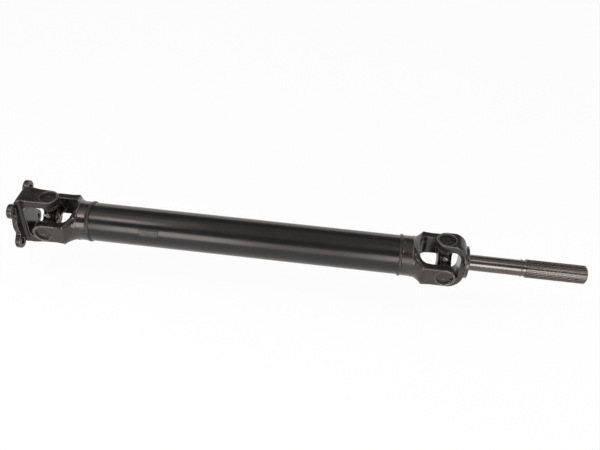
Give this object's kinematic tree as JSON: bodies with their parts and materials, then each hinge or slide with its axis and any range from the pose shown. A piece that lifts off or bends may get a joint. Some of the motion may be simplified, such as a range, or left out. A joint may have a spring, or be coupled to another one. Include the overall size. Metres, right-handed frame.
{
  "type": "universal joint shaft",
  "caption": "Tubular drive shaft with a cross joint at each end: a four-lug flange yoke on one side, and a yoke with a splined stub on the other.",
  "frame": {"origin": "centre of the flange's mounting face", "axes": "+X along the shaft, from the flange towards the splined end; +Z along the bearings of the flange yoke and the stub yoke; +Y along the bearings of the two weld yokes"},
  "size_m": [0.9455, 0.091, 0.0926],
  "materials": {
    "tube_paint": "satin black paint over a welded steel tube",
    "yoke_paint": "thin black paint over forged steel, slightly grainy",
    "flange_yoke_finish": "thin black coating over forged steel, worn to grey on its edges",
    "weld_paint": "black paint over a rippled weld bead",
    "cross_steel": "dark hardened steel, oiled",
    "bearing_steel": "dark ground bearing steel",
    "spring_steel": "blackened spring steel",
    "needle_steel": "ground and polished rollers",
    "seal_rubber": "soft black rubber",
    "washer_plastic": "plain pale nylon",
    "zinc_plate": "zinc plate",
    "stub_steel": "forged and turned bare steel, dark and oiled, brighter on the turned shaft and the teeth"
  },
  "bodies": {
    "tube_body": {"tube": "tube_paint", "balance_weight": "tube_paint", "front_weld_bead": "weld_paint", "rear_weld_bead": "weld_paint", "front_weld_yoke": "yoke_paint", "rear_weld_yoke": "yoke_paint", "front_near_bearing_cap": "bearing_steel", "front_near_snap_ring": "spring_steel", "front_near_thrust_washer": "washer_plastic", "front_near_bearing_seal": "seal_rubber", "front_far_bearing_cap": "bearing_steel", "front_far_snap_ring": "spring_steel", "front_far_thrust_washer": "washer_plastic", "front_far_bearing_seal": "seal_rubber", "rear_near_bearing_cap": "bearing_steel", "rear_near_snap_ring": "spring_steel", "rear_near_thrust_washer": "washer_plastic", "rear_near_bearing_seal": "seal_rubber", "rear_far_bearing_cap": "bearing_steel", "rear_far_snap_ring": "spring_steel", "rear_far_thrust_washer": "washer_plastic", "rear_far_bearing_seal": "seal_rubber"},
    "front_cross_body": {"front_cross": "cross_steel", "front_grease_nipple": "zinc_plate"},
    "flange_yoke_body": {"flange_yoke": "flange_yoke_finish", "front_top_bearing_cap": "bearing_steel", "front_top_snap_ring": "spring_steel", "front_top_thrust_washer": "washer_plastic", "front_top_bearing_seal": "seal_rubber", "front_bottom_bearing_cap": "bearing_steel", "front_bottom_snap_ring": "spring_steel", "front_bottom_thrust_washer": "washer_plastic", "front_bottom_bearing_seal": "seal_rubber"},
    "front_side_needles": {"front_near_needle_rollers": "needle_steel", "front_far_needle_rollers": "needle_steel"},
    "front_flange_needles": {"front_top_needle_rollers": "needle_steel", "front_bottom_needle_rollers": "needle_steel"},
    "rear_cross_body": {"rear_cross": "cross_steel", "rear_grease_nipple": "zinc_plate"},
    "stub_yoke_body": {"stub_yoke": "stub_steel", "rear_top_bearing_cap": "bearing_steel", "rear_top_snap_ring": "spring_steel", "rear_top_thrust_washer": "washer_plastic", "rear_top_bearing_seal": "seal_rubber", "rear_bottom_bearing_cap": "bearing_steel", "rear_bottom_snap_ring": "spring_steel", "rear_bottom_thrust_washer": "washer_plastic", "rear_bottom_bearing_seal": "seal_rubber"},
    "rear_side_needles": {"rear_near_needle_rollers": "needle_steel", "rear_far_needle_rollers": "needle_steel"},
    "rear_stub_needles": {"rear_top_needle_rollers": "needle_steel", "rear_bottom_needle_rollers": "needle_steel"}
  },
  "joints": [
    {"name": "front_cross_hinge", "type": "hinge", "parent": "tube_body", "child": "front_cross_body", "pos_m": [0.0553, 0, 0], "axis": [0, 1, 0], "range_deg": [-25, 25]},
    {"name": "flange_yoke_hinge", "type": "hinge", "parent": "front_cross_body", "child": "flange_yoke_body", "pos_m": [0.0553, 0, 0], "axis": [0, 0, 1], "range_deg": [-25, 25]},
    {"name": "front_side_needle_roll", "type": "hinge", "parent": "tube_body", "child": "front_side_needles", "pos_m": [0.0553, 0, 0], "axis": [0, 1, 0], "range_deg": [-11, 11]},
    {"name": "front_flange_needle_roll", "type": "hinge", "parent": "front_cross_body", "child": "front_flange_needles", "pos_m": [0.0553, 0, 0], "axis": [0, 0, 1], "range_deg": [-14.2, 14.2]},
    {"name": "rear_cross_hinge", "type": "hinge", "parent": "tube_body", "child": "rear_cross_body", "pos_m": [0.718, 0, 0], "axis": [0, 1, 0], "range_deg": [-25, 25]},
    {"name": "stub_yoke_hinge", "type": "hinge", "parent": "rear_cross_body", "child": "stub_yoke_body", "pos_m": [0.718, 0, 0], "axis": [0, 0, 1], "range_deg": [-25, 25]},
    {"name": "rear_side_needle_roll", "type": "hinge", "parent": "tube_body", "child": "rear_side_needles", "pos_m": [0.718, 0, 0], "axis": [0, 1, 0], "range_deg": [-11, 11]},
    {"name": "rear_stub_needle_roll", "type": "hinge", "parent": "rear_cross_body", "child": "rear_stub_needles", "pos_m": [0.718, 0, 0], "axis": [0, 0, 1], "range_deg": [-14.2, 14.2]}
  ],
  "couplings": [
    {"joint": "front_side_needle_roll", "follows": "front_cross_hinge", "ratio": 0.435},
    {"joint": "front_flange_needle_roll", "follows": "flange_yoke_hinge", "ratio": 0.565},
    {"joint": "rear_side_needle_roll", "follows": "rear_cross_hinge", "ratio": 0.435},
    {"joint": "rear_stub_needle_roll", "follows": "stub_yoke_hinge", "ratio": 0.565}
  ]
}
